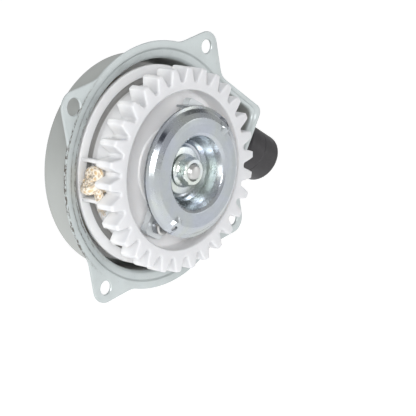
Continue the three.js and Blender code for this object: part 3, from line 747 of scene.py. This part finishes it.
def make_case():
    """The drawn shell as one polar grid: rim, mouth, wall, rope outlet's pocket, back and pushed-in centre."""
    columns = 480
    degrees = np.arange(columns) * 360.0 / columns
    signed = (degrees + 180) % 360 - 180
    lobe = smooth_between(signed, -19, -12) * (1 - smooth_between(signed, 39, 47))
    wall = DRUM_R + (corner_reach(signed, LOBE_EDGE) - DRUM_R) * lobe
    rim = flange_reach(signed)
    crease = wall + (CREASE_R - DRUM_R) * (1 - lobe) + 2.4 * lobe
    floor = LOBE_FLOOR
    back = CASE_BACK + SHEET
    boss = back + 3.0
    lobe_width = wall - DRUM_R

    def row(radius, w):
        return ring_at(radius, w, np.radians(degrees))

    rows = [
        row(rim - 0.45, 0), row(rim - 0.12, -0.1), row(rim, -0.4), row(rim, -SHEET + 0.4),
        row(rim - 0.12, -SHEET + 0.1), row(rim - 0.45, -SHEET),
        row(np.maximum(crease + 0.4, wall + 4.0), -SHEET),
        row(np.maximum(crease - 0.3, wall + 3.7), -SHEET - 0.35),
        row(np.maximum(crease - 1.0, wall + 3.4), -2.4),
        row(wall + SHEET + 1.7, -2.55), row(wall + SHEET + 0.6, -2.9), row(wall + SHEET + 0.1, -3.7),
        row(wall + SHEET, -4.8), row(wall + SHEET, floor - 0.2),
        row(wall + SHEET - 0.3 * lobe - 0.05 * (1 - lobe), floor - 1.0),
        row(wall + SHEET - np.minimum(1.2, lobe_width) - 0.11 * (1 - lobe), floor - 1.45),
        row(DRUM_R + SHEET + np.minimum(0.9, lobe_width * 0.5) - 0.13, floor - 1.55),
    ]
    fillet = 6.4
    sweep_down = np.radians(np.linspace(9.0, 90.0, 12))
    outer_back = np.stack([DRUM_R + SHEET - fillet + fillet * np.cos(sweep_down),
                           CASE_BACK + fillet - fillet * np.sin(sweep_down)], -1)
    ribbed = rounded([
        (47.0, CASE_BACK, 0), (44.5, CASE_BACK, 0.8), (43.5, CASE_BACK + 0.7, 0.8),
        (33.5, CASE_BACK + 0.7, 0.8), (32.5, CASE_BACK, 0.8), (18.6, CASE_BACK, 1.0),
        (16.4, boss - SHEET, 1.0), (4.3, boss - SHEET, 0),
    ], closed=False, steps=3)
    inner_back = rounded([
        (4.3, boss, 0), (16.9, boss, 1.4), (19.1, back, 1.4), (32.0, back, 0.8), (33.0, back + 0.7, 0.8),
        (44.0, back + 0.7, 0.8), (45.0, back, 0.8), (46.4, back, 0),
    ], closed=False, steps=3)
    corner = rounded([(46.8, back, 0), (DRUM_R, back, 5.6), (DRUM_R, floor + 0.2, 0)], closed=False, steps=9)
    for profile in (outer_back, ribbed, inner_back, corner):
        rows += [row(r, w) for r, w in profile]
    rows += [
        row(DRUM_R + np.minimum(0.6, lobe_width * 0.4), floor + 0.25),
        row(wall - np.minimum(1.4, lobe_width * 0.6), floor + 0.35),
        row(wall - np.minimum(0.4, lobe_width * 0.2), floor + 0.8), row(wall, floor + 1.8),
        row(wall, -10.0), row(wall, -4.2), row(wall + 0.12, -2.9), row(wall + 0.45, -2.0),
        row(wall + 1.0, -1.4), row(wall + 1.8, -1.08), row(np.maximum(crease - 1.2, wall + 2.0), -1.0),
        row(np.maximum(crease - 0.75, wall + 2.2), -0.9), row(np.maximum(crease - 0.35, wall + 2.4), -0.5),
        row(np.maximum(crease, wall + 2.7), -0.12), row(np.maximum(crease + 0.5, wall + 3.1), 0.0),
    ]
    piece = new_object("case_shell", mesh_from_rings("case_shell", rows, columns))

    cutters = []
    for angle, hole in zip(EAR_ANGLES, EAR_HOLE_R):
        profile = np.array([(0, -4), (hole + 2, -4), (hole + 0.35, -SHEET - 0.02), (hole, -SHEET + 0.35),
                            (hole, -0.35), (hole + 0.35, 0.02), (hole + 2, 3), (0, 3)])
        tool = revolve("ear_hole", profile, 48, closed=False)
        at = polar(BOLT_CIRCLE_R, angle)
        tool.transform(Matrix.Translation(Vector(to_row([at[0], at[1], 0]))))
        cutters.append(tool)
    rope_hole = revolve("rope_hole", np.array([(0, LOBE_EDGE - 4), (4.5, LOBE_EDGE - 4),
                                               (4.5, LOBE_EDGE + 4), (0, LOBE_EDGE + 4)]), 40, closed=False)
    lay_along_rope(rope_hole)
    cut(piece, [*cutters, rope_hole])
    place(piece, 40, "housing", "case", "case_zinc", case_zinc)


# ---- reel ----------------------------------------------------------------------------------------------------

def gear_ring(inset=0.0, clip=100.0):
    """The crown's outline all round as plan points, drawn in by an inset and cut off at a radius."""
    half = np.array([
        (6.0, GEAR_ROOT_R), (5.2, GEAR_ROOT_R + 0.03), (4.65, GEAR_ROOT_R + 0.25), (4.3, GEAR_ROOT_R + 0.8),
        (3.95, GEAR_ROOT_R + 1.7), (3.45, GEAR_ROOT_R + 3.0), (2.9, GEAR_ROOT_R + 4.4),
        (2.25, GEAR_TIP_R - 1.4),
        (1.9, GEAR_TIP_R - 0.6), (1.6, GEAR_TIP_R - 0.2), (1.1, GEAR_TIP_R - 0.02), (0.0, GEAR_TIP_R),
    ])
    tooth = np.concatenate([half[:-1] * (-1, 1), half[::-1][:-1]])
    outline = []
    for k in range(TEETH):
        middle = FIRST_TOOTH + 360.0 * k / TEETH
        angle = np.radians(middle + tooth[:, 0])
        outline.append(np.stack([tooth[:, 1] * np.cos(angle), tooth[:, 1] * np.sin(angle)], -1))
    outline = np.concatenate(outline)
    along = np.roll(outline, -1, 0) - np.roll(outline, 1, 0)
    along /= np.linalg.norm(along, axis=1)[:, None]
    outline = outline - np.stack([along[:, 1], -along[:, 0]], -1) * inset
    reach = np.linalg.norm(outline, axis=1)
    return outline * (np.minimum(reach, clip) / reach)[:, None]


def make_reel():
    """The reel's moulding: recess, toothed crown, sheave and two posts beside the knot's pocket."""
    outline = gear_ring()
    angles = np.arctan2(outline[:, 1], outline[:, 0])
    columns = len(angles)

    def flat(radius, w):
        return ring_at(radius, w, angles)

    def toothed(inset, w, clip=100.0):
        return np.concatenate([gear_ring(inset, clip), np.full((columns, 1), float(w))], -1)

    inner = rounded([
        (9.6, -4.8, 0.3), (9.6, RECESS_FLOOR + 0.8, 0.4), (21.4, RECESS_FLOOR + 0.8, 0.5),
        (21.9, RECESS_FLOOR, 0.5), (CROWN_INNER_R, RECESS_FLOOR, 1.3), (CROWN_INNER_R, GEAR_FRONT, 0.8),
        (GEAR_ROOT_R - 1.6, GEAR_FRONT, 0),
    ], closed=False, steps=4)
    lower = rounded([
        (GEAR_ROOT_R - 0.6, GEAR_BACK, 0), (43.5, GEAR_BACK - 0.4, 0.5), (43.5, -0.4, 0.4),
        (GROOVE_R[0], -0.8, 0.3), (GROOVE_R[0], -6.0, 0.2), (GROOVE_R[1], -6.0, 0.2),
        (GROOVE_R[1] + 0.1, -4.0, 0.3), (SHEAVE_R, -4.0, 0.7), (SHEAVE_R, -6.4, 0.7), (33.0, -6.4, 0.6),
        (33.0, REEL_BACK + 2.4, 0.6), (SHEAVE_R, REEL_BACK + 2.4, 0.7), (SHEAVE_R, REEL_BACK, 0.7),
        (30.6, REEL_BACK, 0.4), (30.6, -5.6, 0.4), (24.0, -5.6, 0.4), (24.0, 4.5, 0.5), (13.0, 4.5, 0.5),
        (13.0, -4.8, 0.3),
    ], closed=False, steps=3)
    rings = [flat(r, w) for r, w in inner]
    front = [(0.55, 0.0, 1.0), (0.24, 0.16, 0.6), (0.07, 0.42, 0.3), (0.0, 0.8, 0.08), (0.0, 2.0, 0.0)]
    rings += [toothed(inset, GEAR_FRONT - drop, GEAR_TIP_R - short) for inset, drop, short in front]
    rings += [toothed(0.0, (GEAR_FRONT + GEAR_BACK) / 2), toothed(0.0, GEAR_BACK + 0.6),
              toothed(0.35, GEAR_BACK + 0.1)]
    rings += [flat(r, w) for r, w in lower]
    piece = new_object("reel_moulding", mesh_from_rings("reel_moulding", rings, columns))

    posts = []
    for side in (-1, 1):
        post = rounded_bar(43.0, 49.6, 1.9, -4.4, GEAR_BACK + 0.4)
        posts.append(turned_mesh(post, POCKET_ANGLE + side * 11.8))
    piece.data = join("reel_moulding", [piece.data, *posts])
    place(piece, 34, "rope_reel", "reel", "reel_nylon", nylon)


def turned_mesh(mesh, degrees):
    """The mesh turned about w to a plan angle."""
    mesh.transform(Matrix.Rotation(-math.radians(degrees), 4, "Y"))
    return mesh


def rounded_bar(x_low, x_high, width, w_low, w_high, bevel=0.4):
    """A bar along plan x with rounded edges."""
    work = bmesh.new()
    bmesh.ops.create_cube(work, size=1.0)
    size = ((x_high - x_low) * MM, (w_high - w_low) * MM, width * MM)
    bmesh.ops.scale(work, vec=size, verts=work.verts)
    centre = to_row([(x_low + x_high) / 2, 0, (w_low + w_high) / 2])
    bmesh.ops.translate(work, vec=tuple(centre), verts=work.verts)
    bmesh.ops.bevel(work, geom=work.edges, offset=bevel * MM, segments=3, profile=0.5, affect="EDGES")
    mesh = bpy.data.meshes.new("bar")
    work.to_mesh(mesh)
    work.free()
    return mesh


# ---- friction plate, washer, nut and stud --------------------------------------------------------------------

def make_plate():
    """The domed plate: a dish round the nut, a flat shoulder, two pressed nibs with slots and two legs."""
    floor = washer_low[2] - 0.4
    top = [
        (8.4, floor, 0), (11.8, floor, 1.0), (13.8, floor + 0.8, 1.2), (15.6, floor + 3.4, 2.0),
        (17.3, floor + 8.6, 2.5), (18.7, PLATE_TOP - 1.3, 1.0), (20.2, PLATE_TOP - 0.25, 1.2),
        (24.4, PLATE_TOP, 2.0), (27.6, PLATE_TOP - 0.45, 2.0), (30.2, PLATE_TOP - 2.1, 1.6),
        (31.7, PLATE_TOP - 4.1, 0.8), (PLATE_RIM_R, PLATE_TOP - 4.6, 0),
    ]
    surface = rounded(top, closed=False, steps=6)
    tangent = np.gradient(surface, axis=0)
    tangent /= np.linalg.norm(tangent, axis=1)[:, None]
    under = surface + np.stack([tangent[:, 1], -tangent[:, 0]], -1) * PLATE_SHEET
    under[0] = (8.4, floor - PLATE_SHEET)
    under[-1] = (PLATE_RIM_R, PLATE_TOP - 5.7)
    profile = np.concatenate([surface, [(PLATE_RIM_R, PLATE_TOP - 5.0)], under[::-1]])
    mesh = revolve("friction_dome", profile, 480)
    for vertex in mesh.vertices:
        x, y = vertex.co.x / MM, vertex.co.z / MM
        for angle in NIB_ANGLES:
            out = polar(1, angle)
            along = x * out[0] + y * out[1] - NIB_R
            across = y * out[0] - x * out[1]
            swell = 1 - (along / 4.3) ** 2 - (across / 3.4) ** 2
            if swell > 0:
                vertex.co.y -= 2.1 * MM * min(1.0, 1.5 * swell) * (0.85 + 0.09 * max(along, 0))
    piece = new_object("friction_dome", mesh)
    cut(piece, [turned_mesh(rounded_bar(29.4, 31.9, 2.3, PLATE_TOP - 7, PLATE_TOP + 4, bevel=0.9), angle)
                for angle in NIB_ANGLES])
    legs = [turned_mesh(rounded_bar(31.5, 32.7, 8.0, 14.1, PLATE_TOP - 5.0, bevel=0.3), angle)
            for angle in LEG_ANGLES]
    piece.data = join("friction_dome", [piece.data, *legs])
    place(piece, 38, "plate", "friction_plate", "plate_zinc", plate_zinc)


def make_washer():
    """The plain washer between the plate and the nut."""
    low, high, outer = washer_low[2], washer_high[2], radius_of("plate_washer")
    profile = rounded([(4.3, low, 0.2), (outer, low, 0.2), (outer, high, 0.45), (4.3, high, 0.3)])
    piece = new_object("plain_washer", revolve("plain_washer", profile, 96))
    place(piece, 38, "housing", "plate_washer", "nut_zinc", nut_zinc)


def make_nut():
    """A flange nut: a hexagon with turned chamfers, its flange and a plain bore."""
    bottom, top = nut_low[2], nut_high[2]
    columns = 144
    angles = even_angles(columns)
    sector = (np.degrees(angles) - 12.0 + 30.0) % 60.0 - 30.0
    hexagon = NUT_ACROSS_FLATS / 2 / np.cos(np.radians(30.0 - np.abs(sector)))
    hexagon = np.minimum(hexagon, 7.42)
    rows = [
        (STUD_R, bottom), (NUT_FLANGE_R - 0.2, bottom), (NUT_FLANGE_R, bottom + 0.25),
        (NUT_FLANGE_R, bottom + 0.75), (NUT_FLANGE_R - 0.35, bottom + 1.05), (7.9, bottom + 1.25),
        (np.maximum(hexagon + 0.15, 7.0), bottom + 1.75),
        (hexagon, bottom + 2.3), (hexagon, top - 1.3),
        (np.minimum(hexagon, 7.1), top - 0.75), (np.minimum(hexagon, 6.72), top - 0.35),
        (np.minimum(hexagon, 6.3), top), (5.3, top), (4.75, top), (4.12, top - 0.6), (4.06, bottom + 0.6),
    ]
    rings = [ring_at(radius, w, angles) for radius, w in rows]
    piece = new_object("m8_nut", mesh_from_rings("m8_nut", rings, columns))
    place(piece, 28, "housing", "flange_nut", "nut_zinc", nut_zinc)


def make_stud():
    """The post and the thread above it, cut as one helix."""
    low, end = stud_low[2], stud_high[2]
    columns = 72
    angles = even_angles(columns)
    boss_back = CASE_BACK + 3.0
    base = rounded([
        (0.4, low, 0), (6.6, low, 0.8), (6.9, low + 1.1, 0.2), (STUD_R, low + 1.1, 0.1),
        (STUD_R, boss_back + 0.3, 0.1),
        (15.0, boss_back + 0.3, 0.3), (15.0, boss_back + 1.6, 0.3), (11.0, boss_back + 1.6, 0.3),
        (11.0, -5.4, 0.3), (8.0, -5.4, 0.3), (8.0, washer_low[2] - 0.3, 0.3), (3.9, washer_low[2] - 0.3, 0.2),
    ], closed=False, steps=2)
    rows = [ring_at(r, w, angles) for r, w in base]
    start, stop = washer_low[2] + 0.2, end - 0.9
    steps = int((stop - start) / THREAD_PITCH * 8)
    for i in range(steps + 1):
        w = start + (stop - start) * i / steps
        phase = (w / THREAD_PITCH + angles / (2 * math.pi)) % 1.0
        tooth = np.abs(phase - 0.5) * 2
        radius = STUD_R - 0.05 - THREAD_DEPTH * np.clip(tooth * 1.25 - 0.12, 0, 1)
        rows.append(ring_at(radius, w, angles))
    tip = ((3.55, end - 0.55), (3.1, end - 0.12), (2.9, end), (0.4, end - 0.02))
    rows += [ring_at(r, w, angles) for r, w in tip]
    count = len(rows)
    vertices = list(to_row(np.array(rows)).reshape(-1, 3))
    faces = ring_faces(count, columns, False).tolist()
    for ring, w in ((0, low), (count - 1, end - 0.02)):
        vertices.append(to_row(np.array([0.0, 0.0, w])))
        faces += [[ring * columns + j, ring * columns + (j + 1) % columns, len(vertices) - 1]
                  for j in range(columns)]
    piece = new_object("threaded_post", mesh_from("threaded_post", vertices, faces))
    place(piece, 50, "housing", "centre_stud", "stud_steel", stud_steel)


# ---- pawls ---------------------------------------------------------------------------------------------------

def make_pawls():
    """The CAD pawls with their edges eased."""
    for name in ("pawl_1", "pawl_2"):
        shade_node(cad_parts[name], pawl_zinc, 0.35, segments=3, angle=50.0)


def shade_node(node, material, bevel=0.0, segments=2, angle=40.0):
    """A better material on a CAD node, smooth facets and, where asked, eased edges."""
    node.data.materials.clear()
    node.data.materials.append(material)
    for polygon in node.data.polygons:
        polygon.use_smooth = True
    if bevel > 0:
        modifier = node.modifiers.new("eased edges", "BEVEL")
        modifier.width = bevel * MM
        modifier.segments = segments
        modifier.limit_method = "ANGLE"
        modifier.angle_limit = math.radians(angle)


# ---- rope ----------------------------------------------------------------------------------------------------

def make_winding():
    """Three layers of two turns on the spool."""
    front, back = winding_high[2], winding_low[2]
    lanes = [back + ROPE_R + 0.2, front - ROPE_R - 0.2]
    tubes = []
    turns, spans = 2.0, 192
    for layer, radius in enumerate((35.7, 40.1, 44.4)):
        path = []
        for i in range(spans + 1):
            turn = turns * i / spans
            lane = lanes[0] + (lanes[1] - lanes[0]) * smooth_between(turn, 0.9, 1.1)
            if layer % 2:
                lane = lanes[0] + lanes[1] - lane
            at = polar(radius + 0.12 * math.sin(turn * 9), 50.0 + 360.0 * turn)
            path.append((at[0], at[1], float(lane)))
        tubes.append(sweep("turns", path, ROPE_R, 12))
    piece = new_object("rope_turns", join("rope_turns", tubes))
    place(piece, 60, "rope_reel", "rope_winding", "rope", rope)


def make_knot():
    """A tight overhand knot in the reel's pocket, the strand that comes up to it and its frayed tail."""
    middle = np.array([*polar(47.0, 181.6), 3.2])
    out = np.array([*polar(1, 180.0), 0.0])
    side = np.array([*polar(1, 270.0), 0.0])
    front = np.array([0.0, 0.0, 1.0])

    def at(radial, around, w):
        return middle + out * radial + side * around + front * w

    lobes = []
    spans = 120
    for k in range(spans + 1):
        t = 2 * math.pi * k / spans
        lobes.append(at(2.75 * (math.sin(t) + 0.55 * math.sin(2 * t)) * 1.08,
                        3.3 * (math.cos(t) - 0.75 * math.cos(2 * t)) * 0.92,
                        2.6 * math.sin(3 * t)))
    strands = [sweep("knot_loops", lobes, 2.95, 18)]
    strands.append(sweep("knot_strand", spline([
        at(-0.8, 0.6, -7.2), at(-0.8, 0.5, -4.8), at(-0.4, 0.0, -2.2), at(0.4, -0.6, 0.4)], 10), ROPE_R, 16))
    tail = spline([at(1.2, 0.5, 1.5), at(0.6, 4.0, 2.8), at(-0.8, 8.4, 3.0), at(-2.0, 12.4, 3.2)], 10)
    strands.append(sweep("knot_tail", tail, 2.2, 16, np.linspace(1.0, 1.12, len(tail))))
    rng = np.random.default_rng(7)
    end = tail[-1]
    heading = tail[-1] - tail[-4]
    heading /= np.linalg.norm(heading)
    fibres, fuzz_hairs = 40, 46
    for _ in range(fibres):
        spread = rng.normal(0, 0.95, 3)
        fibre = spline([end - heading * 1.0 + spread * 0.8, end + heading * 0.8 + spread * 1.2,
                        end + heading * (1.2 + rng.uniform(0, 1.2)) + spread * rng.uniform(1.3, 1.9)], 4)
        strands.append(sweep("fibre", fibre, 0.24, 5, np.linspace(1, 0.5, len(fibre))))
    for _ in range(fuzz_hairs):
        fuzz = rng.normal(0, 1, 3)
        fuzz /= np.linalg.norm(fuzz)
        root = middle + fuzz * 5.0
        strands.append(sweep("fuzz", spline([root, root + fuzz * 0.9 + rng.normal(0, 0.3, 3),
                                             root + fuzz * 1.5 + rng.normal(0, 0.7, 3)], 3), 0.1, 4))
    piece = new_object("knotted_end", join("knotted_end", strands))
    place(piece, 60, "rope_reel", "rope_knot", "rope", rope)


def make_lead():
    """The rope from the reel through the outlet to the handle."""
    bend = on_rope_line(0, 0, LOBE_EDGE - 4)[:2]
    layer = radius_of("rope_winding") - ROPE_R
    leave_angle = math.degrees(math.atan2(bend[1], bend[0]) + math.acos(layer / np.linalg.norm(bend)))
    leave = polar(layer, leave_angle)
    heading = (bend - leave) / np.linalg.norm(bend - leave)
    start = leave + heading * 24.0
    half = start * 0.4 + bend * 0.6
    path = spline([
        (*start, ROPE_W), (*half, ROPE_W), on_rope_line(0, 0, LOBE_EDGE - 3),
        on_rope_line(0, 0, LOBE_EDGE + 1),
        on_rope_line(0, 0, 60.9), on_rope_line(0, 0, 68.6),
    ], 14)
    piece = new_object("rope_to_handle", sweep("rope_to_handle", path, ROPE_R, 16))
    piece.data.materials.append(rope)
    mark_sharp(piece.data, 60)
    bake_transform(piece)
    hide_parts("rope_lead")


# ---- handle --------------------------------------------------------------------------------------------------

def make_handle():
    """The moulded grip: a nose against the guide, a rounded barrel, a parting line and a plug in its end."""
    floor, end, shoulder = 68.0, HANDLE_END, HANDLE_NOSE + 1.7
    grip = rounded([
        (3.0, HANDLE_NOSE, 0.4), (7.7, HANDLE_NOSE, 0.7), (8.0, shoulder, 0.3), (HANDLE_R - 0.1, shoulder, 1.9),
        (HANDLE_R, 72.9, 0), (HANDLE_R - 0.2, 73.1, 0), (HANDLE_R, 73.3, 0), (HANDLE_R, end, 3.9),
        (8.9, end, 0.4), (8.9, floor, 0.6), (3.0, floor, 0.4),
    ], steps=7)
    finish_handle_piece("grip_moulding", revolve("grip_moulding", grip, 128), "handle_grip")

    plug = rounded([
        (0, end - 3.2, 0), (8.5, end - 3.2, 0.3), (8.5, end - 0.4, 0.5), (6.2, end - 0.1, 0.3),
        (5.8, end - 0.5, 0.2), (0, end - 0.4, 0),
    ], closed=False, steps=3)
    finish_handle_piece("end_plug", revolve("end_plug", plug, 96, closed=False), "handle_plug")


def finish_handle_piece(name, mesh, node):
    """Lays a mesh turned about w along the rope and makes it the handle's piece for a node."""
    lay_along_rope(mesh)
    piece = new_object(name, mesh)
    place(piece, 40, "pull_handle", node, "handle_plastic", black_plastic)


def shade_other_nodes():
    """Better materials on the CAD nodes that keep their shape."""
    plain = {
        "stud_washer": (stud_steel, 0.15), "rope_guide": (plain_steel, 0.15),
        "recoil_spring": (spring_steel, 0), "spring_cover": (cover_zinc, 0.2),
        "hub_bush": (bronze, 0), "thrust_washer": (plain_steel, 0.1),
        "pawl_pivot_1": (stud_steel, 0.15), "pawl_pivot_2": (stud_steel, 0.15),
        "pawl_spring_1": (spring_steel, 0), "pawl_spring_2": (spring_steel, 0),
        "friction_spring": (spring_steel, 0), "handle_ferrule": (plain_steel, 0.15), "handle_knot": (rope, 0),
    }
    for name, (material, bevel) in plain.items():
        shade_node(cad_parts[name], material, bevel)


add_camera()
add_stage()
make_case()
make_reel()
make_plate()
make_washer()
make_nut()
make_stud()
make_pawls()
make_winding()
make_knot()
make_lead()
make_handle()
shade_other_nodes()
